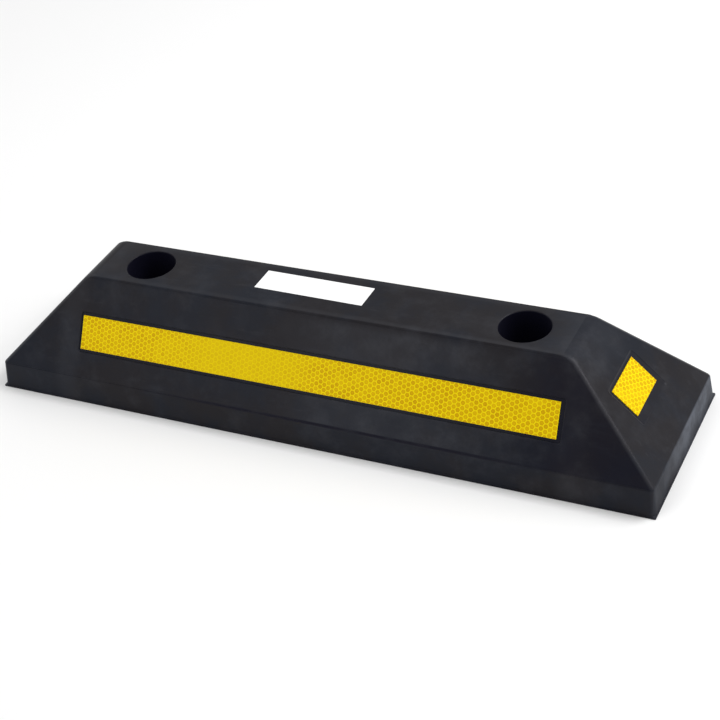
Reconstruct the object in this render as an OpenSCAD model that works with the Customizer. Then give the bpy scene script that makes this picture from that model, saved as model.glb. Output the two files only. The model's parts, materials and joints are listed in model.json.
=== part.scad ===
// Rubber parking wheel stop. One moulded block with hipped ends carries
// reflective tapes in shallow recesses, a label, and a steel washer at the foot
// of each counterbored bolt hole. Millimetres, +Z up. The origin is the centre
// of the underside, X runs along the block, and -Y is the front.

/* [Block] */
// Overall length, over the moulding lip
block_length = 540; // [520:2:580]
// Overall width, over the moulding lip
block_width = 145; // [136:1:156]
// Height of the flat top above the ground
block_height = 89; // [86:1:100]
// Length of the top where its plane meets the end slopes
top_length = 396; // [388:1:404]
// Width of the top where its plane meets the long slopes
top_width = 52; // [44:1:56]
// Height of the near-upright band round the foot
band_height = 21; // [16:1:28]
// How far the band leans in over its height, at the ends
band_end_draft = 1.2; // [0:0.2:4]
// How far the band leans in over its height, along the sides
band_side_draft = 3.2; // [0:0.2:4]

/* [Moulding] */
// Width of the thin lip that stands out round the underside
lip_width = 0.8; // [0.6:0.2:4]
// Thickness of that lip
lip_height = 1; // [0.5:0.5:3]
// Radius of the lip's corners, seen from above
lip_corner_radius = 1; // [0.5:0.5:5]
// Radius where the top rolls over into the end slopes
top_end_radius = 15; // [6:1:24]
// Radius where the top meets the long slopes
top_side_radius = 3; // [1:0.5:6]
// Radius of the band's four upright corners
corner_radius = 3.5; // [1:0.5:10]

/* [Bolt holes] */
// Distance between the two bolt holes
hole_spacing = 309; // [302:1:312]
// Diameter of the hole for the ground bolt
bolt_hole_diameter = 13; // [10:0.5:16]
// Diameter of the counterbore for the bolt's head and its socket
counterbore_diameter = 38; // [37.5:0.5:41]
// Width of the bevel round the counterbore's rim
rim_bevel = 1; // [0.5:0.5:2]
// Outer diameter of the load-spreading washer
washer_diameter = 37; // [30:0.5:37]
// Thickness of that washer
washer_thickness = 3; // [2:0.5:4]
// Thickness of rubber that the washer clamps to the ground
clamped_rubber = 45; // [30:1:50]

/* [Long reflective strips] */
// Length of a strip
strip_length = 392; // [340:2:396]
// Width of a strip, measured up the slope
strip_width = 26.4; // [20:0.2:28]
// Distance up the slope from the top of the band to the strip
strip_rise = 22.6; // [20:0.2:26]
// How much larger than the strip its moulded recess is, on every side
strip_margin = 2.2; // [1.2:0.2:3]
// How far the hand-laid strips sit off the middle of the block, along it
strip_offset = -1; // [-2:0.2:2]

/* [End reflectors] */
// Width of an end reflector, across the block
patch_width = 42; // [30:1:44]
// Height of an end reflector, measured up the slope
patch_height = 25; // [18:1:26]
// Distance up the slope from the top of the band to the reflector
patch_rise = 35; // [34:0.2:36]
// How far the hand-laid reflectors sit off the middle of the block, across it
patch_offset = -0.8; // [-2:0.2:2]
// Width of the moulded recess that holds the reflector
patch_recess_width = 47; // [46:1:56]
// Height of that recess, measured up the slope
patch_recess_height = 32.4; // [32:0.2:36]
// Distance up the slope from the top of the band to the recess
patch_recess_rise = 28.8; // [28:0.2:32]

/* [Films] */
// Depth of the recesses that hold the reflective films
recess_depth = 1; // [0.6:0.1:1.5]
// Thickness of the reflective film
film_thickness = 0.5; // [0.3:0.1:0.6]

/* [Label] */
// Length of the label on the top
label_length = 90; // [60:1:110]
// Width of the label
label_width = 23; // [15:1:30]
// Thickness of the label
label_thickness = 0.2; // [0.1:0.1:0.4]
// Distance of the label's centre from the middle of the block, along it
label_offset_x = -14.6; // [-20:0.2:20]
// Distance of the label's centre from the middle of the block, across it
label_offset_y = 4.6; // [-5:0.2:5]
// Angle by which the hand-laid label is off square
label_turn = -0.75; // [-3:0.25:3]

/* [Cored underside] */
// Length of a hollow pocket, along the block
pocket_length = 40; // [30:1:40]
// Width of a hollow pocket at the ground
pocket_width = 50; // [40:1:50]
// Depth of a pocket between the bolt holes
pocket_depth = 50; // [30:1:52]
// Depth of a pocket under the end slopes
end_pocket_depth = 30; // [20:1:32]
// Thickness of the ribs between pockets
rib_thickness = 10; // [8:1:10]
// Number of pockets in a row between the bolt holes
middle_pockets = 5; // [1:1:5]
// Distance from a bolt hole's axis to the end pocket
end_pocket_gap = 33; // [30:1:36]

/* [Hidden] */

rubber_color = "#2f2f33";
film_color = "#d9b20a";
label_color = "#f4f4f4";
steel_color = "#a9acb0";

$fn = 96;
arc_steps = 8;
slack = 1;                   // how far a cutting shape runs past the solid

foot_x = block_length / 2 - lip_width;
foot_y = block_width / 2 - lip_width;
band_x = foot_x - band_end_draft;
band_y = foot_y - band_side_draft;
slope_rise = block_height - band_height;
end_run = band_x - top_length / 2;
side_run = band_y - top_width / 2;
end_angle = atan2(slope_rise, end_run);
side_angle = atan2(slope_rise, side_run);
washer_top = clamped_rubber + washer_thickness;
pocket_wall_top = 15;        // height at which a pocket's outer wall starts to lean in

// The points of an arc that rounds the corner b between a and c.
function corner_arc(a, b, c, radius) =
    let (
        to_a = (a - b) / norm(a - b),
        to_c = (c - b) / norm(c - b),
        half = acos(to_a * to_c) / 2,
        middle = b + (to_a + to_c) / norm(to_a + to_c) * radius / sin(half),
        first = b + to_a * radius / tan(half) - middle,
        last = b + to_c * radius / tan(half) - middle,
        start = atan2(first.y, first.x),
        turn = atan2(first.x * last.y - first.y * last.x, first * last)
    )
    [for (i = [0 : arc_steps])
        middle + radius * [cos(start + turn * i / arc_steps), sin(start + turn * i / arc_steps)]];

// An outline whose corners are rounded to the given radii; 0 leaves one sharp.
function rounded(points, radii) =
    let (count = len(points))
    [for (i = [0 : count - 1])
        each radii[i] == 0
            ? [points[i]]
            : corner_arc(points[(i + count - 1) % count], points[i],
                         points[(i + 1) % count], radii[i])];

// The block seen square on: foot, band, slope and flat top.
function section(foot, band, top, radius) =
    rounded([[-foot, 0], [foot, 0], [band, band_height], [top, block_height],
             [-top, block_height], [-band, band_height]],
            [0, 0, 0, radius, radius, 0]);

function plan(half_x, half_y, radius) =
    rounded([[-half_x, -half_y], [half_x, -half_y], [half_x, half_y], [-half_x, half_y]],
            [radius, radius, radius, radius]);

// Stands on the front slope at the top of the band: X along it, Y up it, Z out.
module on_side_slope() {
    translate([0, -band_y, band_height])
        rotate([side_angle, 0, 0])
            children();
}

// The same on the right end slope.
module on_end_slope() {
    rotate([0, 0, 90])
        translate([0, -band_x, band_height])
            rotate([end_angle, 0, 0])
                children();
}

// A flat slab, centred in X, whose lower edge is at rise and whose base is at
// the given depth under the surface.
module slab(length, width, thickness, rise, depth) {
    translate([-length / 2, rise, -depth])
        cube([length, width, thickness]);
}

module block() {
    intersection() {
        rotate([90, 0, 0])
            linear_extrude(block_width, center = true)
                polygon(section(foot_x, band_x, top_length / 2, top_end_radius));
        rotate([90, 0, 90])
            linear_extrude(block_length, center = true)
                polygon(section(foot_y, band_y, top_width / 2, top_side_radius));
        linear_extrude(block_height)
            polygon(plan(foot_x, foot_y, corner_radius));
    }
    linear_extrude(lip_height)
        polygon(plan(block_length / 2, block_width / 2, lip_corner_radius));
}

module film_recesses() {
    recess_cut = recess_depth + slack;
    for (side = [0, 1])
        mirror([0, side, 0])
            on_side_slope()
                slab(strip_length + 2 * strip_margin, strip_width + 2 * strip_margin,
                     recess_cut, strip_rise - strip_margin, recess_depth);
    for (side = [0, 1])
        mirror([side, 0, 0])
            on_end_slope()
                slab(patch_recess_width, patch_recess_height, recess_cut,
                     patch_recess_rise, recess_depth);
}

module bolt_hole() {
    translate([0, 0, -slack])
        cylinder(d = bolt_hole_diameter, h = block_height);
    translate([0, 0, clamped_rubber])
        cylinder(d = washer_diameter, h = block_height);
    translate([0, 0, washer_top])
        cylinder(d = counterbore_diameter, h = block_height);
    translate([0, 0, block_height - rim_bevel])
        cylinder(d1 = counterbore_diameter, d2 = counterbore_diameter + 4 * rim_bevel,
                 h = 2 * rim_bevel);
}

// A pocket of the front row. Its outer wall leans in with the slope above it.
module pocket(depth) {
    inner = rib_thickness / 2;
    outer = inner + pocket_width;
    lean = (depth - pocket_wall_top) / tan(side_angle);
    translate([-pocket_length / 2, 0, 0])
        rotate([90, 0, 90])
            linear_extrude(pocket_length)
                polygon([[-inner, -slack], [-inner, depth], [lean - outer, depth],
                         [-outer, pocket_wall_top], [-outer, -slack]]);
}

module cored_underside() {
    pitch = pocket_length + rib_thickness;
    end_pocket_x = hole_spacing / 2 + end_pocket_gap + pocket_length / 2;
    for (side = [0, 1])
        mirror([0, side, 0]) {
            for (i = [0 : middle_pockets - 1])
                translate([(i - (middle_pockets - 1) / 2) * pitch, 0, 0])
                    pocket(pocket_depth);
            for (end = [-1, 1])
                translate([end * end_pocket_x, 0, 0])
                    pocket(end_pocket_depth);
        }
}

module rubber_body() {
    color(rubber_color)
        difference() {
            block();
            film_recesses();
            cored_underside();
            for (end = [-1, 1])
                translate([end * hole_spacing / 2, 0, 0])
                    bolt_hole();
        }
}

module front_reflective_strip() {
    color(film_color)
        on_side_slope()
            translate([strip_offset, 0, 0])
                slab(strip_length, strip_width, film_thickness, strip_rise, recess_depth);
}

module rear_reflective_strip() {
    mirror([0, 1, 0])
        front_reflective_strip();
}

module right_end_reflector() {
    color(film_color)
        on_end_slope()
            translate([patch_offset, 0, 0])
                slab(patch_width, patch_height, film_thickness, patch_rise, recess_depth);
}

module left_end_reflector() {
    mirror([1, 0, 0])
        right_end_reflector();
}

module top_label() {
    color(label_color)
        translate([label_offset_x, label_offset_y, block_height])
            rotate([0, 0, label_turn])
                translate([-label_length / 2, -label_width / 2, 0])
                    cube([label_length, label_width, label_thickness]);
}

module bolt_washer(end) {
    color(steel_color)
        translate([end * hole_spacing / 2, 0, clamped_rubber])
            difference() {
                cylinder(d = washer_diameter, h = washer_thickness);
                translate([0, 0, -slack])
                    cylinder(d = bolt_hole_diameter, h = washer_thickness + 2 * slack);
            }
}

rubber_body();
front_reflective_strip();
rear_reflective_strip();
left_end_reflector();
right_end_reflector();
top_label();
bolt_washer(-1);  // left_bolt_washer
bolt_washer(1);  // right_bolt_washer
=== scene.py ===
import json
import math

import bmesh
import bpy
import numpy as np
from mathutils import Matrix, Vector


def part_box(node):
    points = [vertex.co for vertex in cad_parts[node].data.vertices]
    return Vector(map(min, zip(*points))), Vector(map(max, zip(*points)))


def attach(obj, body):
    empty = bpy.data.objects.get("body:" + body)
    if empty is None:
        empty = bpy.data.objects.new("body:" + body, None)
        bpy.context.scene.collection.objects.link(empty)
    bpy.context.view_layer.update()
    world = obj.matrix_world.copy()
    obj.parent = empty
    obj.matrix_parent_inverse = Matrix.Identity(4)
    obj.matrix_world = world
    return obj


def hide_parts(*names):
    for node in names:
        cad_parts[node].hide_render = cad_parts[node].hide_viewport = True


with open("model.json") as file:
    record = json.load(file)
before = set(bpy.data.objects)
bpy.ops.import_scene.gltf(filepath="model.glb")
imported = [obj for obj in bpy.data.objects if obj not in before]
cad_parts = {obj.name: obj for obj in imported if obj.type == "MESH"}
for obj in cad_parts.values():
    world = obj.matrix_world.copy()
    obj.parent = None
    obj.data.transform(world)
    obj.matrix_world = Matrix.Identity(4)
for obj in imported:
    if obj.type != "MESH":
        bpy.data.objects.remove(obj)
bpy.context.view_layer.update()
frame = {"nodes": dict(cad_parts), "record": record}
MM = 0.001


# ---------------------------------------------------------------- dimensions
# The block's own box and its holes come from the frame. The sizes below repeat the
# CAD model's, in metres, and the fine ones after them are this model's own.
_, block_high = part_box("rubber_body")
HALF_LENGTH = block_high.x
HALF_WIDTH = block_high.y
HEIGHT = block_high.z
MOUNTS = {mount["name"]: mount for mount in frame["record"]["mounts"]}
HOLE_X = MOUNTS["right_bolt_hole"]["pos_m"][0]

TOP_HALF_LENGTH = 198 * MM
TOP_HALF_WIDTH = 26 * MM
BAND_HEIGHT = 21 * MM
END_DRAFT = 1.2 * MM
SIDE_DRAFT = 3.2 * MM
LIP_WIDTH = 0.8 * MM
LIP_HEIGHT = 1 * MM
LIP_CORNER = 1 * MM            # radius of the lip's corners, seen from above
TOP_END_RADIUS = 15 * MM
CORNER_RADIUS = 3.5 * MM
RIM_RADIUS = 1 * MM
RECESS_DEPTH = 1 * MM
STRIP_MARGIN = 2.2 * MM
PATCH_RECESS = (47 * MM, 32.4 * MM)
PATCH_RECESS_RISE = 28.8 * MM
POCKET_LENGTH = 40 * MM
POCKET_WIDTH = 50 * MM
POCKET_DEPTH = 50 * MM
END_POCKET_DEPTH = 30 * MM
POCKET_WALL_TOP = 15 * MM
RIB = 10 * MM
MIDDLE_POCKETS = 5
END_POCKET_GAP = 33 * MM

TOP_SIDE_RADIUS = 2.0 * MM     # tighter than the CAD model's own rounding
LIP_EDGE = 0.2 * MM            # rounding of the lip's own edges
LIP_ROOT = 0.6 * MM            # rounding where the lip flares out of the band
CREASE_RADIUS = 1.2 * MM       # rounding between the band and the slopes
CREASE_LINE = (21.1 * MM, 0.35 * MM, 0.9 * MM)     # height, depth and width of the fine
SHOULDER_LINE = (87.9 * MM, 0.25 * MM, 1.0 * MM)   # mould lines along the long sides
STRIP_FLARE = 0.4 * MM         # how far a recess's walls open out
PATCH_FLARE = 2.0 * MM
RECESS_CORNER = 0.8 * MM
# how dark shade is painted on each recess's floor
STRIP_FLOOR_SHADE, PATCH_FLOOR_SHADE = 1.0, 0.3
RIM_REACH = 6 * MM             # a cutter ends in a flange this far past its mouth,
RIM_LIFT = 0.08 * MM           # this far clear of the skin,
RIM_SINK = 0.01 * MM           # from a corner this far under it
POCKET_DRAFT = 0.02            # lean of a pocket's walls
POCKET_CORNER = 3 * MM
POCKET_MOUTH = 0.6 * MM        # how far a pocket's mouth opens out
POCKET_ROOF_EDGE = 2 * MM      # size of the soft edge round a pocket's roof
JUST_UNDER = -0.0001 * MM      # a height that is clear of the block's flat underside
LABEL_CORNER = 0.4 * MM
CELL = 3.8 * MM                # the films' honeycomb, across a cell's flats
CELL_RELIEF = 0.05 * MM
WASHER_TOP_EDGE, WASHER_LOW_EDGE = 0.6 * MM, 0.2 * MM
ROUND_STEPS = 96               # sides of a full circle

BAND_HALF_LENGTH = HALF_LENGTH - LIP_WIDTH - END_DRAFT
BAND_HALF_WIDTH = HALF_WIDTH - LIP_WIDTH - SIDE_DRAFT


# ---------------------------------------------------------------- mesh tools
def new_piece(name, bm, material, node):
    """Turns a bmesh into a shown piece that stands for a CAD node."""
    mesh = bpy.data.meshes.new(name)
    bm.to_mesh(mesh)
    bm.free()
    piece = bpy.data.objects.new(name, mesh)
    bpy.context.scene.collection.objects.link(piece)
    mesh.materials.append(material)
    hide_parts(node)
    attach(piece, "root")
    return piece


def smooth_with_sharp_edges(piece, angle):
    """Smooth shading that stays crisp on flat faces and breaks at sharp edges."""
    mesh = piece.data
    mesh.polygons.foreach_set("use_smooth", [True] * len(mesh.polygons))
    mesh.set_sharp_from_angle(angle=math.radians(angle))
    weighted = piece.modifiers.new("weighted_normals", "WEIGHTED_NORMAL")
    weighted.mode = "FACE_AREA"
    weighted.keep_sharp = True


def fillet(before, corner, after, radius, steps):
    """Points of an arc that rounds a corner of a 2-D outline."""
    before, corner, after = (np.array(p, float) for p in (before, corner, after))
    to_before = (before - corner) / np.linalg.norm(before - corner)
    to_after = (after - corner) / np.linalg.norm(after - corner)
    half = math.acos(np.clip(to_before @ to_after, -1, 1)) / 2
    middle = to_before + to_after
    centre = corner + middle / np.linalg.norm(middle) * radius / math.sin(half)
    first = corner + to_before * radius / math.tan(half) - centre
    last = corner + to_after * radius / math.tan(half) - centre
    start = math.atan2(first[1], first[0])
    turn = math.atan2(first[0] * last[1] - first[1] * last[0], first @ last)
    angles = start + turn * np.linspace(0, 1, steps + 1)
    return centre + radius * np.stack([np.cos(angles), np.sin(angles)], 1)


def rounded_rectangle(half_x, half_y, radius, steps):
    """Points round a rectangle with round corners, anticlockwise."""
    points = []
    for quarter, (sx, sy) in enumerate([(1, 1), (-1, 1), (-1, -1), (1, -1)]):
        for i in range(steps + 1):
            angle = math.pi / 2 * (quarter + i / steps)
            points.append((sx * (half_x - radius) + radius * math.cos(angle),
                           sy * (half_y - radius) + radius * math.sin(angle)))
    return points


def loft(bm, rings):
    """Skins a list of rings of equal length, bottom first, and caps both ends."""
    made = [[bm.verts.new(point) for point in ring] for ring in rings]
    count = len(made[0])
    for lower, upper in zip(made, made[1:]):
        for i in range(count):
            j = (i + 1) % count
            bm.faces.new((lower[i], lower[j], upper[j], upper[i]))
    bm.faces.new(reversed(made[0]))
    bm.faces.new(made[-1])
    return made


def rectangle_loft(bm, levels, corner_steps):
    """A loft of rounded rectangles, each level being (z, half_x, half_y, radius)."""
    return loft(bm, [[(x, y, z) for x, y in rounded_rectangle(hx, hy, r, corner_steps)]
                     for z, hx, hy, r in levels])


def lathe(bm, profile, steps, centre):
    """Turns a closed (radius, z) outline about a vertical axis through centre."""
    rings = []
    for i in range(steps):
        angle = 2 * math.pi * i / steps
        rings.append([bm.verts.new((centre.x + r * math.cos(angle),
                                    centre.y + r * math.sin(angle), centre.z + z))
                      for r, z in profile])
    count = len(profile)
    for i in range(steps):
        here, there = rings[i], rings[(i + 1) % steps]
        for j in range(count):
            k = (j + 1) % count
            bm.faces.new((here[j], there[j], there[k], here[k]))


def solid_lathe(bm, profile, steps, centre):
    """A lathe whose outline runs from axis to axis, closed by two round caps."""
    rings = [[(centre.x + r * math.cos(a), centre.y + r * math.sin(a), centre.z + z)
              for a in np.linspace(0, 2 * math.pi, steps, endpoint=False)]
             for r, z in profile]
    loft(bm, rings)


def subtract(piece, cutters):
    """Cuts the cutters, one bmesh of separate closed shells, out of a piece, and
    welds the slivers that the cut leaves."""
    bmesh.ops.recalc_face_normals(cutters, faces=cutters.faces)
    mesh = bpy.data.meshes.new("cutters")
    cutters.to_mesh(mesh)
    cutters.free()
    tool = bpy.data.objects.new("cutters", mesh)
    bpy.context.scene.collection.objects.link(tool)
    cut = piece.modifiers.new("cut", "BOOLEAN")
    cut.operation = "DIFFERENCE"
    cut.solver = "EXACT"
    cut.object = tool
    graph = bpy.context.evaluated_depsgraph_get()
    result = bpy.data.meshes.new_from_object(piece.evaluated_get(graph), depsgraph=graph)
    joined = bmesh.new()
    joined.from_mesh(result)
    bmesh.ops.remove_doubles(joined, verts=joined.verts, dist=0.001 * MM)
    joined.to_mesh(result)
    joined.free()
    piece.modifiers.remove(cut)
    old = piece.data
    piece.data = result
    bpy.data.objects.remove(tool)
    for used in (mesh, old):
        bpy.data.meshes.remove(used)


def paint(piece, name, places):
    """Stores a value on each vertex that lies at one of the places, and 0 elsewhere."""
    known = {tuple(round(c, 6) for c in place): value for place, value in places}
    values = [known.get(tuple(round(c, 6) for c in v.co), 0.0) for v in piece.data.vertices]
    piece.data.attributes.new(name, "FLOAT", "POINT").data.foreach_set("value", values)


def slab_frame(node):
    """The place and size of a flat CAD slab: a matrix whose Z is its outward
    normal, whose X runs along its longest edge and whose Y climbs the slope, or
    points to the rear on a level slab, with its origin in the middle of its upper
    face, and its length, width and thickness."""
    mesh = frame["nodes"][node].data
    faces = {}
    for polygon in mesh.polygons:
        key = tuple(round(abs(c), 3) for c in polygon.normal)
        area = faces[key][0] if key in faces else 0
        faces[key] = (area + polygon.area, polygon.normal.copy())
    by_area = sorted(faces.values(), key=lambda face: face[0])
    along, normal = by_area[0][1], by_area[-1][1]
    if normal.z < 0:
        normal.negate()
    if normal.cross(along).dot(Vector((0, 0.01, 1))) < 0:
        along.negate()
    axes = (along, normal.cross(along), normal)
    spans = [[pick(v.co.dot(axis) for v in mesh.vertices) for pick in (min, max)]
             for axis in axes]
    middle = [sum(span) / 2 for span in spans[:2]] + [spans[2][1]]
    origin = sum((axis * place for axis, place in zip(axes, middle)), Vector())
    placed = Matrix([[axis[row] for axis in axes] + [origin[row]] for row in range(3)]
                    + [[0, 0, 0, 1]])
    return placed, [high - low for low, high in spans]


# ---------------------------------------------------------------- materials
class Nodes:
    """A short hand for building one material's node tree."""

    def __init__(self, name):
        self.material = bpy.data.materials.new(name)
        self.material.use_nodes = True
        self.tree = self.material.node_tree
        self.shader = self.tree.nodes["Principled BSDF"]
        self.place = self.add("ShaderNodeTexCoord").outputs["Object"]

    def add(self, kind, settings=None, **inputs):
        node = self.tree.nodes.new(kind)
        for name, value in (settings or {}).items():
            setattr(node, name, value)
        for name, value in inputs.items():
            self.feed(node.inputs[name.replace("_", " ")], value)
        return node

    def feed(self, socket, value):
        if isinstance(value, bpy.types.NodeSocket):
            self.tree.links.new(value, socket)
        else:
            socket.default_value = value

    def noise(self, scale, detail=2.0, roughness=0.5, place=None):
        return self.add("ShaderNodeTexNoise", Vector=place or self.place, Scale=scale,
                        Detail=detail, Roughness=roughness).outputs["Fac"]

    def ramp(self, value, low, high, to_low=0.0, to_high=1.0):
        """Maps a value from one range to another, held at both ends."""
        node = self.add("ShaderNodeMapRange", {"interpolation_type": "SMOOTHSTEP"}, Value=value)
        for name, number in zip(("From Min", "From Max", "To Min", "To Max"),
                                (low, high, to_low, to_high)):
            node.inputs[name].default_value = number
        return node.outputs["Result"]

    def math(self, operation, first, second=0.0):
        node = self.add("ShaderNodeMath", {"operation": operation})
        self.feed(node.inputs[0], first)
        self.feed(node.inputs[1], second)
        return node.outputs[0]

    def distance(self, value, centre):
        return self.math("ABSOLUTE", self.math("SUBTRACT", value, centre))

    def product(self, first, *others):
        for other in others:
            first = self.math("MULTIPLY", first, other)
        return first

    def mix(self, share, first, second):
        """Mixes two colours."""
        node = self.add("ShaderNodeMix", {"data_type": "RGBA"})
        self.feed(node.inputs[0], share)
        for socket, colour in ((node.inputs[6], first), (node.inputs[7], second)):
            linked = isinstance(colour, bpy.types.NodeSocket)
            self.feed(socket, colour if linked else (*colour, 1))
        return node.outputs[2]

    def bump(self, height, distance, strength=1.0, below=None):
        node = self.add("ShaderNodeBump", Height=height, Distance=distance, Strength=strength)
        if below is not None:
            self.feed(node.inputs["Normal"], below)
        return node.outputs["Normal"]

    def split(self, vector):
        return self.add("ShaderNodeSeparateXYZ", Vector=vector).outputs

    def attribute(self, name):
        return self.add("ShaderNodeAttribute", {"attribute_name": name}).outputs["Fac"]

    def finish(self, **inputs):
        for name, value in inputs.items():
            self.feed(self.shader.inputs[name.replace("_", " ")], value)
        return self.material


# colours
RUBBER_WARM, RUBBER_COOL = (0.0077, 0.0067, 0.0086), (0.0050, 0.0070, 0.0128)
# the pale tone serves both for wear and for painted light, the dark one is painted shade
RUBBER_WEAR_AND_LIGHT, RUBBER_SHADE_PAINT = (0.053, 0.055, 0.064), (0.0009, 0.0009, 0.0075)
# the end bands' pale tone, partly wear and partly a painted sheen
BAND_WEAR_AND_SHEEN = (0.096, 0.105, 0.126)
RUBBER_SHEEN = (0.96, 0.94, 1.0)
FILM_SEAM, FILM_MEAN = (0.895, 0.70, 0.0028), (0.78, 0.575, 0.0020)
FILM_CELL, FILM_DEEP_CELL = (0.685, 0.42, 0.0014), (0.56, 0.29, 0.0012)
LABEL_DULL, LABEL_BRIGHT = (0.90, 0.90, 0.90), (0.95, 0.95, 0.95)
ZINC_DARK, ZINC_LIGHT = (0.42, 0.43, 0.44), (0.62, 0.63, 0.65)
FLOOR_DARK, FLOOR_LIGHT = (0.88, 0.88, 0.88), (0.90, 0.90, 0.90)

# the rubber's wear, its painted light and its painted shade: how strong each is, then where it
# lies
CLOUD_SHARE, SCUFF_SHARE, RIDGE_HIGHLIGHT_SHARE, RECESS_SHADE_SHARE = 0.2, 0.16, 0.2, 0.6
# where painted light blooms on the front slope
BLOOM_SHARE, BLOOM_MIDDLE, BLOOM_NEAR, BLOOM_FAR = 0.29, 70 * MM, 20 * MM, 115 * MM
# where painted light lies on the roll-over into the end slopes
ROLL_LIGHT_SHARE, ROLL_LIGHT_PAST_TOP, ROLL_LIGHT_NEAR, ROLL_LIGHT_FAR = 0.2, 9 * MM, 3 * MM, 14 * MM
# where shade is painted on the right end of the front slope
END_SHADE_FROM, END_SHADE_TO = 150 * MM, 195 * MM
# where shade is painted into the crease above the band
CREASE_SHADE_MIDDLE, CREASE_SHADE_NEAR, CREASE_SHADE_FAR = 30 * MM, 80 * MM, 190 * MM
CREASE_SHADE_CORE, CREASE_SHADE_EDGE = 0.6 * MM, 1.5 * MM
# the part of the films where the honeycomb shows less
PLAIN_MIDDLE, PLAIN_NEAR, PLAIN_FAR = -60 * MM, 10 * MM, 80 * MM


def front_light_bloom(n, place, cloud):
    """A paler bloom of painted light on the front slope, strongest right of the middle."""
    along = n.ramp(n.distance(place["X"], BLOOM_MIDDLE), BLOOM_NEAR, BLOOM_FAR, 1.0, 0.0)
    on_front = n.ramp(place["Y"], -TOP_HALF_WIDTH - 4 * MM, -TOP_HALF_WIDTH, BLOOM_SHARE, 0.0)
    above_band = n.ramp(place["Z"], BAND_HEIGHT - 3 * MM, BAND_HEIGHT + 3 * MM, 0.1, 1.0)
    return n.product(along, on_front, above_band, n.ramp(cloud, 0.3, 0.7, 0.5, 1.4))


def roll_light(n, place, cloud):
    """Painted light where the top rolls over into the end slopes, in soft patches."""
    past_roll = n.distance(n.math("ABSOLUTE", place["X"]), TOP_HALF_LENGTH + ROLL_LIGHT_PAST_TOP)
    return n.product(n.ramp(past_roll, ROLL_LIGHT_NEAR, ROLL_LIGHT_FAR, ROLL_LIGHT_SHARE, 0.0),
                     n.ramp(cloud, 0.35, 0.65, 0.6, 1.0))


def right_end_shade(n, place, cloud):
    """Painted shade on the right end of the front slope, which turns darker than the rest of it.
    """
    facing = n.split(n.add("ShaderNodeNewGeometry").outputs["Normal"])
    along = n.ramp(place["X"], END_SHADE_FROM, END_SHADE_TO)
    on_front = n.ramp(facing["Y"], -0.8, -0.5, 1.0, 0.0)
    above_band = n.ramp(place["Z"], BAND_HEIGHT - MM, BAND_HEIGHT + MM)
    return n.product(along, on_front, n.ramp(cloud, 0.35, 0.65, 0.6, 0.35), above_band)


def crease_shade(n, place, cloud):
    """Painted shade in the crease above the band, strongest near the middle of the block."""
    along = n.ramp(n.distance(place["X"], CREASE_SHADE_MIDDLE), CREASE_SHADE_NEAR, CREASE_SHADE_FAR, 1.0, 0.0)
    off_crease = n.distance(place["Z"], CREASE_LINE[0])
    return n.product(n.ramp(off_crease, CREASE_SHADE_CORE, CREASE_SHADE_EDGE, 1.0, 0.0), along,
                     n.ramp(cloud, 0.35, 0.55, 0.5, 1.0))


def band_wear_and_sheen(n, place):
    """How pale an end band is, partly from wear and partly from a painted sheen: more towards the
    rear and higher up, in soft patches.
    """
    rearward = n.ramp(place["Y"], -BAND_HALF_WIDTH, 0.3 * BAND_HALF_WIDTH, 0.25, 0.9)
    upward = n.ramp(place["Z"], 1 * MM, 12 * MM, 0.45, 1.0)
    return n.product(rearward, upward, n.ramp(n.noise(70, 4, 0.6), 0.36, 0.64, 0.55, 1.0))


def inside_holes(n, place):
    """Where shade is painted in the bolt holes: 1 inside them and 0 elsewhere, the underside
    included.
    """
    bore = MOUNTS["right_counterbore"]["dims"]["r_mm"] * MM
    across = n.math("SUBTRACT", n.math("ABSOLUTE", place["X"]), HOLE_X)
    off_axis = n.add("ShaderNodeCombineXYZ", X=across, Y=place["Y"]).outputs["Vector"]
    radius = n.add("ShaderNodeVectorMath", {"operation": "LENGTH"}, Vector=off_axis)
    return n.product(n.ramp(radius.outputs["Value"], bore, bore + 0.5 * MM, 1.0, 0.0),
                     n.ramp(place["Z"], 1 * MM, 3 * MM))


def rubber_skin(n):
    """The rubber's relief: slow waves, shallow pits and a fine grain."""
    waves = n.bump(n.noise(24, 2, 0.4), 0.5 * MM)
    pits = n.bump(n.noise(320, 3, 0.6), 0.04 * MM, below=waves)
    return n.bump(n.noise(1400, 2, 0.5), 0.015 * MM, below=pits)


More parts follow.
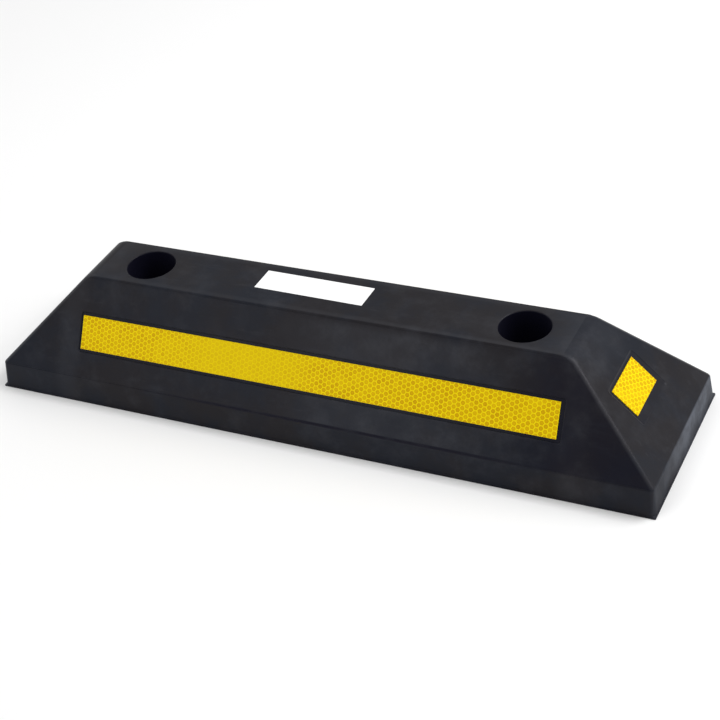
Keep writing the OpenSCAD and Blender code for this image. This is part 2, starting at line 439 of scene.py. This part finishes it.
def rubber_material():
    """Black moulded rubber: cool and warm clouds, a fine grain and faint scuffs drawn
    out along the block, with paler wear and painted light and darker painted shade
    laid over them in turn."""
    n = Nodes("black_rubber")
    place = n.split(n.place)
    drawn_out = n.add("ShaderNodeMapping", Vector=n.place, Scale=(0.22, 1, 1)).outputs["Vector"]
    bloom = n.noise(17, 5, 0.62)
    cloud = n.noise(42, 5, 0.65)
    scuff = n.noise(130, 4, 0.7, drawn_out)
    end = n.ramp(n.math("ABSOLUTE", place["X"]), BAND_HALF_LENGTH - MM, BAND_HALF_LENGTH)
    # the insides of the bolt holes are painted dark as shade
    in_hole = inside_holes(n, place)

    colour = n.mix(n.ramp(bloom, 0.38, 0.62), RUBBER_WARM, RUBBER_COOL)
    # clouds and scuffs are wear; the front bloom, the ridges and the roll-over are painted light;
    # the recess floors, the right end, the crease and the holes are painted shade; the end bands
    # are wear with a painted sheen
    for share, tone in (
            (n.product(n.ramp(cloud, 0.45, 0.75), CLOUD_SHARE), RUBBER_WEAR_AND_LIGHT),
            (n.product(n.ramp(scuff, 0.55, 0.8), SCUFF_SHARE), RUBBER_WEAR_AND_LIGHT),
            (front_light_bloom(n, place, cloud), RUBBER_WEAR_AND_LIGHT),
            (n.product(n.attribute("ridge_highlight"), RIDGE_HIGHLIGHT_SHARE), RUBBER_WEAR_AND_LIGHT),
            (n.product(n.attribute("recess"), RECESS_SHADE_SHARE), RUBBER_SHADE_PAINT),
            (roll_light(n, place, cloud), RUBBER_WEAR_AND_LIGHT),
            (right_end_shade(n, place, cloud), RUBBER_SHADE_PAINT),
            (crease_shade(n, place, cloud), RUBBER_SHADE_PAINT),
            (n.product(end, band_wear_and_sheen(n, place)), BAND_WEAR_AND_SHEEN),
            (in_hole, RUBBER_SHADE_PAINT)):
        colour = n.mix(share, colour, tone)

    matte = n.math("MAXIMUM", n.product(in_hole, 0.8), n.product(end, 0.7))
    roughness = n.math("MAXIMUM", n.ramp(cloud, 0.3, 0.7, 0.32, 0.44), matte)
    n.shader.inputs["Specular IOR Level"].default_value = 0.15
    n.shader.inputs["Specular Tint"].default_value = (*RUBBER_SHEEN, 1)
    return n.finish(Base_Color=colour, Roughness=roughness, Normal=rubber_skin(n))


def film_material():
    """Yellow prismatic film: darker cells inside a paler honeycomb of seams, which
    shows less along one soft stretch, over the fine facets of its cube corners."""
    n = Nodes("yellow_reflective_film")
    cell = n.attribute("cell")
    spark = n.attribute("spark")
    from_plain = n.distance(n.split(n.place)["X"], PLAIN_MIDDLE)
    shown = n.product(n.ramp(from_plain, PLAIN_NEAR, PLAIN_FAR, 0.4, 1.0),
                      n.ramp(n.noise(16, 2, 0.5), 0.35, 0.6, 0.7, 1.0))
    seam = n.mix(shown, FILM_MEAN, FILM_SEAM)
    depth = n.mix(shown, FILM_MEAN, n.mix(spark, FILM_CELL, FILM_DEEP_CELL))
    facets = n.add("ShaderNodeTexVoronoi", Vector=n.place, Scale=3200.0).outputs["Distance"]
    n.shader.inputs["Specular IOR Level"].default_value = 0.04
    return n.finish(Base_Color=n.mix(cell, seam, depth), Roughness=n.ramp(cell, 0, 1, 0.42, 0.34),
                    Normal=n.bump(facets, 0.02 * MM, 0.6))


def label_material():
    """Plain white vinyl, a little patchy, with a faint pebble."""
    n = Nodes("white_label")
    colour = n.mix(n.noise(120, 4, 0.6), LABEL_DULL, LABEL_BRIGHT)
    n.shader.inputs["Specular IOR Level"].default_value = 0.4
    return n.finish(Base_Color=colour, Roughness=n.ramp(n.noise(300, 3), 0.3, 0.7, 0.3, 0.42),
                    Normal=n.bump(n.noise(900, 2), 0.01 * MM))


def steel_material():
    """Zinc-plated steel, cloudy and finely pitted."""
    n = Nodes("zinc_steel")
    colour = n.mix(n.noise(90, 5, 0.6), ZINC_DARK, ZINC_LIGHT)
    roughness = n.ramp(n.noise(220, 4, 0.7), 0.3, 0.7, 0.28, 0.5)
    n.shader.inputs["Metallic"].default_value = 1.0
    return n.finish(Base_Color=colour, Roughness=roughness,
                    Normal=n.bump(n.noise(1500, 3), 0.01 * MM))


def floor_material():
    """A plain pale floor."""
    n = Nodes("pale_floor")
    n.shader.inputs["Specular IOR Level"].default_value = 0.1
    return n.finish(Base_Color=n.mix(n.noise(3, 2), FLOOR_DARK, FLOOR_LIGHT), Roughness=0.9)


RUBBER = rubber_material()
FILM = film_material()
LABEL = label_material()
STEEL = steel_material()


# ---------------------------------------------------------------- the block
def half_outline(half, draft, top, top_radius):
    """The block seen square on, from the lip's upper edge up to the flat top, as
    (offset from the middle, height) pairs that never come down again."""
    foot = half - LIP_WIDTH
    root = (foot - draft * LIP_HEIGHT / BAND_HEIGHT, LIP_HEIGHT)
    crease, shoulder = (foot - draft, BAND_HEIGHT), (top, HEIGHT)
    return np.concatenate([
        fillet((half, LIP_HEIGHT), root, crease, LIP_ROOT, 6),
        fillet(root, crease, shoulder, CREASE_RADIUS, 6),
        fillet(crease, shoulder, (0, HEIGHT), top_radius, 12)])


def scored(outline, height, depth, width):
    """The outline with a fine mould line pressed in at a given height."""
    groove = height + width / 2 * np.linspace(-1, 1, 7)
    heights = np.unique(np.concatenate([outline[:, 1], groove]))
    offsets = np.interp(heights, outline[:, 1], outline[:, 0])
    pressed = np.clip(1 - np.abs(heights - height) / (width / 2), 0, 1)
    return np.stack([offsets - depth * pressed, heights], 1)


def lip_levels():
    """The levels of the thin lip, whose two edges are just broken."""
    lower = fillet((-LIP_WIDTH, 0), (0, 0), (0, LIP_HEIGHT), LIP_EDGE, 3)
    upper = fillet((0, 0), (0, LIP_HEIGHT), (-LIP_WIDTH, LIP_HEIGHT), LIP_EDGE, 3)
    return [(z, HALF_LENGTH + out, HALF_WIDTH + out, LIP_CORNER + out)
            for out, z in np.concatenate([lower, upper])]


def body_levels():
    """The levels above the lip, where the ends and the sides lean differently."""
    ends = half_outline(HALF_LENGTH, END_DRAFT, TOP_HALF_LENGTH, TOP_END_RADIUS)
    sides = half_outline(HALF_WIDTH, SIDE_DRAFT, TOP_HALF_WIDTH, TOP_SIDE_RADIUS)
    sides = scored(scored(sides, *CREASE_LINE), *SHOULDER_LINE)
    heights = sorted({round(float(z), 7) for z in np.concatenate([ends[:, 1], sides[:, 1]])})
    flare = (LIP_HEIGHT, LIP_HEIGHT + LIP_ROOT)
    return [(z, np.interp(z, ends[:, 1], ends[:, 0]), np.interp(z, sides[:, 1], sides[:, 0]),
             np.interp(z, flare, (LIP_CORNER, CORNER_RADIUS)))
            for z in heights]


def hole_cutter(bm, side):
    """The bolt hole, the washer's seat and the counterbore with its round rim."""
    bolt, bore = MOUNTS[side + "_bolt_hole"], MOUNTS[side + "_counterbore"]
    low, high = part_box(side + "_bolt_washer")
    bolt_r, bore_r = bolt["dims"]["r_mm"] * MM, bore["dims"]["r_mm"] * MM
    seat_r = (high.x - low.x) / 2
    clear = (bore_r + RIM_REACH, HEIGHT + RIM_LIFT)
    rim = fillet((bore_r, high.z), (bore_r, HEIGHT - RIM_SINK), clear, RIM_RADIUS, 6)
    profile = [(bolt_r, -MM), (bolt_r, low.z), (seat_r, low.z), (seat_r, high.z),
               (bore_r, high.z), *rim, clear, (clear[0], HEIGHT + MM)]
    solid_lathe(bm, profile, ROUND_STEPS, Vector((bore["pos_m"][0], bore["pos_m"][1], 0)))


def strip_recess_middle(node):
    """The middle of a strip's moulded recess, level with the film's upper face."""
    placed, _ = slab_frame(node)
    return Vector((0, *placed.translation.yz))


def patch_recess_middle(node):
    """The same for an end reflector's recess, found up the slope from the band."""
    placed, (_, _, thickness) = slab_frame(node)
    up, out, origin = (placed.col[i].xyz for i in (1, 2, 3))
    crease = Vector((math.copysign(BAND_HALF_LENGTH, origin.x), 0, BAND_HEIGHT))
    rise = PATCH_RECESS_RISE + PATCH_RECESS[1] / 2
    return crease + up * rise - out * (RECESS_DEPTH - thickness)


def recess_cutter(bm, node, middle, half_x, half_y, flare, floor_shade):
    """A film's moulded recess: a flat floor under the film, walls that open out
    and a soft rim. Returns the corners of its floor, with the painted shade on them."""
    placed, (_, _, thickness) = slab_frame(node)
    placed.translation = middle
    surface = RECESS_DEPTH - thickness - RIM_SINK
    clear = (flare + RIM_REACH, surface + RIM_LIFT)
    rim = fillet((0, -thickness), (flare, surface), clear, RECESS_CORNER, 4)
    outline = [(0, -thickness), *rim, clear, (clear[0], surface + MM)]
    rings = rectangle_loft(bm, [(z, half_x + out, half_y + out, RECESS_CORNER + out)
                                for out, z in outline], 4)
    for ring in rings:
        for vert in ring:
            vert.co = placed @ vert.co
    return [(vert.co.copy(), floor_shade) for vert in rings[0]]


def pocket_cutter(bm, x, side, depth):
    """A hollow of the cored underside, with drafted walls and a soft mouth."""
    slope = (HEIGHT - BAND_HEIGHT) / (BAND_HALF_WIDTH - TOP_HALF_WIDTH)
    # height, and how far the walls stand out there from their plain drafted line
    levels = ((-MM, POCKET_MOUTH), (JUST_UNDER, POCKET_MOUTH), (POCKET_MOUTH, 0),
              (POCKET_WALL_TOP, 0), (depth - POCKET_ROOF_EDGE, 0),
              (depth - 0.3 * POCKET_ROOF_EDGE, -0.25 * POCKET_ROOF_EDGE),
              (depth, -POCKET_ROOF_EDGE))
    rings = []
    for z, flare in levels:
        inset = POCKET_DRAFT * max(z, 0) - flare
        lean = max(0, z - POCKET_WALL_TOP) / slope
        inner = RIB / 2 + inset
        outer = RIB / 2 + POCKET_WIDTH - lean - inset
        middle = side * (outer + inner) / 2
        outline = rounded_rectangle(POCKET_LENGTH / 2 - inset, (outer - inner) / 2,
                                    POCKET_CORNER, 5)
        rings.append([(x + px, middle + py, z) for px, py in outline])
    loft(bm, rings)


def build_block():
    """The moulded rubber block."""
    bm = bmesh.new()
    corner_steps = 10
    rings = rectangle_loft(bm, lip_levels() + body_levels(), corner_steps)
    # a painted highlight along the rounded corners, strongest halfway round each
    ridge_highlight = [(vert.co.copy(), math.sin(math.pi * (i % (corner_steps + 1)) / corner_steps))
             for ring in rings for i, vert in enumerate(ring)]
    piece = new_piece("moulded_rubber_block", bm, RUBBER, "rubber_body")

    cutters = bmesh.new()
    floors = []
    for side in ("left", "right"):
        hole_cutter(cutters, side)
        patch = side + "_end_reflector"
        floors += recess_cutter(cutters, patch, patch_recess_middle(patch), PATCH_RECESS[0] / 2,
                                PATCH_RECESS[1] / 2, PATCH_FLARE, PATCH_FLOOR_SHADE)
    for side in ("front", "rear"):
        strip = side + "_reflective_strip"
        _, (length, width, _) = slab_frame(strip)
        floors += recess_cutter(cutters, strip, strip_recess_middle(strip),
                                length / 2 + STRIP_MARGIN, width / 2 + STRIP_MARGIN,
                                STRIP_FLARE, STRIP_FLOOR_SHADE)
    end_x = HOLE_X + END_POCKET_GAP + POCKET_LENGTH / 2
    places = [((i - (MIDDLE_POCKETS - 1) / 2) * (POCKET_LENGTH + RIB), POCKET_DEPTH)
              for i in range(MIDDLE_POCKETS)]
    for x, depth in [*places, (-end_x, END_POCKET_DEPTH), (end_x, END_POCKET_DEPTH)]:
        for side in (-1, 1):
            pocket_cutter(cutters, x, side, depth)
    subtract(piece, cutters)

    paint(piece, "ridge_highlight", ridge_highlight)
    # painted shade on the recess floors
    paint(piece, "recess", floors)
    smooth_with_sharp_edges(piece, 40)


# ---------------------------------------------------------------- the films
def honeycomb_sheet(bm, length, width, seed):
    """A flat sheet of embossed cells in the XY plane. Each cell is a low pillow
    inside its seam. "cell" is 0 on a seam and up to 1 in a cell, and "spark" says
    how deep a cell's colour is."""
    reach = CELL / math.sqrt(3)
    # share of the cell's radius, height, value of "cell"
    rings = ((1.0, 0, 0.0), (0.84, 0, 0.1), (0.70, CELL_RELIEF, 1.0), (0.34, CELL_RELIEF, 0.8))
    rng = np.random.default_rng(seed)
    cell_layer = bm.verts.layers.float.new("cell")
    spark_layer = bm.verts.layers.float.new("spark")
    columns = math.ceil(length / 2 / (1.5 * reach)) + 1
    rows = math.ceil(width / 2 / CELL) + 1
    for column in range(-columns, columns + 1):
        for row in range(-rows, rows + 1):
            x = column * 1.5 * reach
            y = (row + 0.5 * (column % 2)) * CELL
            spark = rng.random()
            made = []
            for share, height, value in rings:
                ring = []
                for i in range(6):
                    angle = math.pi / 3 * i
                    vert = bm.verts.new((x + reach * share * math.cos(angle),
                                         y + reach * share * math.sin(angle), height))
                    vert[cell_layer] = value
                    vert[spark_layer] = spark
                    ring.append(vert)
                made.append(ring)
            for outer, inner in zip(made, made[1:]):
                for i in range(6):
                    j = (i + 1) % 6
                    bm.faces.new((outer[i], outer[j], inner[j], inner[i]))
            bm.faces.new(made[-1])
    bmesh.ops.remove_doubles(bm, verts=bm.verts, dist=0.01 * MM)
    for axis, half in ((Vector((1, 0, 0)), length / 2), (Vector((0, 1, 0)), width / 2)):
        for sign in (-1, 1):
            bmesh.ops.bisect_plane(bm, geom=[*bm.verts, *bm.edges, *bm.faces], dist=0.001 * MM,
                                   plane_co=axis * half * sign, plane_no=axis * sign,
                                   clear_outer=True)
    # the trimming leaves points a hair apart along the edges
    bmesh.ops.remove_doubles(bm, verts=bm.verts, dist=0.005 * MM)


def give_thickness(bm, thickness):
    """Turns a sheet in the XY plane into a closed plate that thick, whose flat back
    is a fan of triangles."""
    rim = [edge for edge in bm.edges if edge.is_boundary]
    made = bmesh.ops.extrude_edge_only(bm, edges=rim)["geom"]
    walls = [v for v in made if isinstance(v, bmesh.types.BMVert)]
    for vert in walls:
        vert.co.z = -thickness
    lower = [e for e in made if isinstance(e, bmesh.types.BMEdge) and e.is_boundary]
    back = bmesh.ops.holes_fill(bm, edges=lower, sides=0)["faces"]
    bmesh.ops.poke(bm, faces=back)
    bmesh.ops.recalc_face_normals(bm, faces=bm.faces)


def build_film(name, node, seed):
    """A piece of prismatic film, lying in its recess."""
    placed, (length, width, thickness) = slab_frame(node)
    bm = bmesh.new()
    honeycomb_sheet(bm, length, width, seed)
    give_thickness(bm, thickness)
    bm.transform(placed)
    piece = new_piece(name, bm, FILM, node)
    smooth_with_sharp_edges(piece, 50)


def build_label():
    """The plain label, with its corners rounded and its edges pressed down."""
    placed, (length, width, thickness) = slab_frame("top_label")
    edge = 0.6 * thickness
    bm = bmesh.new()
    levels = [(-thickness, 0), (-edge, 0), (-0.3 * edge, 0.3 * edge), (0, edge)]
    rectangle_loft(bm, [(z, length / 2 - inset, width / 2 - inset, LABEL_CORNER - inset)
                        for z, inset in levels], 6)
    bm.transform(placed)
    piece = new_piece("plain_white_label", bm, LABEL, "top_label")
    smooth_with_sharp_edges(piece, 60)


def build_washer(side):
    """A punched steel washer, its upper edges rounded and its lower ones just broken."""
    node = side + "_bolt_washer"
    low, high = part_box(node)
    outer = (high.x - low.x) / 2
    inner = MOUNTS[side + "_bolt_hole"]["dims"]["r_mm"] * MM
    top = high.z - low.z
    corners = [(inner, 0), (outer, 0), (outer, top), (inner, top)]
    radii = [WASHER_LOW_EDGE, WASHER_LOW_EDGE, WASHER_TOP_EDGE, WASHER_TOP_EDGE]
    profile = []
    for i, (corner, radius) in enumerate(zip(corners, radii)):
        profile += fillet(corners[i - 1], corner, corners[(i + 1) % 4], radius, 4).tolist()
    bm = bmesh.new()
    centre = Vector(((low.x + high.x) / 2, (low.y + high.y) / 2, low.z))
    lathe(bm, profile, ROUND_STEPS, centre)
    bmesh.ops.recalc_face_normals(bm, faces=bm.faces)
    piece = new_piece(side + "_steel_washer", bm, STEEL, node)
    smooth_with_sharp_edges(piece, 50)


# ---------------------------------------------------------------- the studio
CAMERA_ANGLES = (30.3, 35.7, -8.6)   # azimuth from the front to the right, elevation, roll
CAMERA_TARGET = Vector((14.4, 5.9, 27.1)) * MM
CAMERA_DISTANCE = 1307 * MM
CAMERA_LENS, CAMERA_SENSOR = 86.2, 36
FLOOR_SIZE = 12
FLOOR_DROP = 0.1 * MM                # keeps the floor clear of the block's underside
WORLD_STRENGTH = 0.6
LAMP_DISTANCE = 1.8
KEY_POWER, FILL_POWER = 19, 2.2
# name, azimuth from the front towards the right, elevation, width, power
LAMPS = (
    ("key", 120, 50, 0.9, KEY_POWER),
    ("right_fill", 120, 15, 0.9, FILL_POWER),
    ("back_fill", 180, 50, 0.9, FILL_POWER),
    ("left_back_fill", 245, 50, 0.9, FILL_POWER),
    ("left_fill", 280, 15, 0.9, FILL_POWER),
    ("front_low_fill", 330, 25, 0.5, FILL_POWER),
    ("front_high_fill", 330, 50, 0.9, FILL_POWER),
)


def build_camera():
    """A long lens that looks down on the front and the right end, held askew."""
    azimuth, elevation, roll = (math.radians(a) for a in CAMERA_ANGLES)
    back = Vector((math.sin(azimuth) * math.cos(elevation),
                   -math.cos(azimuth) * math.cos(elevation), math.sin(elevation)))
    right = Vector((math.cos(azimuth), math.sin(azimuth), 0))
    up = back.cross(right)
    rolled_right = math.cos(roll) * right + math.sin(roll) * up
    rolled_up = math.cos(roll) * up - math.sin(roll) * right
    lens = bpy.data.cameras.new("camera")
    lens.lens = CAMERA_LENS
    lens.sensor_width = CAMERA_SENSOR
    lens.clip_start, lens.clip_end = 0.05, 50
    camera = bpy.data.objects.new("camera", lens)
    place = CAMERA_TARGET + back * CAMERA_DISTANCE
    camera.matrix_world = Matrix([[rolled_right[i], rolled_up[i], back[i], place[i]]
                                  for i in range(3)] + [[0, 0, 0, 1]])
    bpy.context.scene.collection.objects.link(camera)
    bpy.context.scene.camera = camera


def softbox(name, azimuth, elevation, width, power):
    """A square lamp that faces the middle of the block's foot from a given direction."""
    azimuth, elevation = math.radians(azimuth), math.radians(elevation)
    place = LAMP_DISTANCE * Vector((math.sin(azimuth) * math.cos(elevation),
                                    -math.cos(azimuth) * math.cos(elevation), math.sin(elevation)))
    data = bpy.data.lights.new(name, "AREA")
    data.size = width
    data.energy = power
    lamp = bpy.data.objects.new(name, data)
    lamp.location = place
    lamp.rotation_euler = (-place).to_track_quat("-Z", "Y").to_euler()
    bpy.context.scene.collection.objects.link(lamp)


def build_studio():
    """A pale floor in an even bright room, with one strong softbox high on the right
    and weaker ones all round."""
    bm = bmesh.new()
    bmesh.ops.create_grid(bm, x_segments=1, y_segments=1, size=FLOOR_SIZE)
    mesh = bpy.data.meshes.new("floor")
    bm.to_mesh(mesh)
    bm.free()
    floor = bpy.data.objects.new("floor", mesh)
    floor.location.z = -FLOOR_DROP
    mesh.materials.append(floor_material())
    bpy.context.scene.collection.objects.link(floor)

    world = bpy.data.worlds.new("studio")
    bpy.context.scene.world = world
    world.use_nodes = True
    background = world.node_tree.nodes["Background"]
    background.inputs["Color"].default_value = (1, 1, 1, 1)
    background.inputs["Strength"].default_value = WORLD_STRENGTH
    for lamp in LAMPS:
        softbox(*lamp)
    bpy.context.scene.view_settings.view_transform = "Standard"


build_block()
build_film("front_honeycomb_strip", "front_reflective_strip", 1)
build_film("rear_honeycomb_strip", "rear_reflective_strip", 2)
build_film("left_honeycomb_patch", "left_end_reflector", 3)
build_film("right_honeycomb_patch", "right_end_reflector", 4)
build_label()
build_washer("left")
build_washer("right")
build_camera()
build_studio()
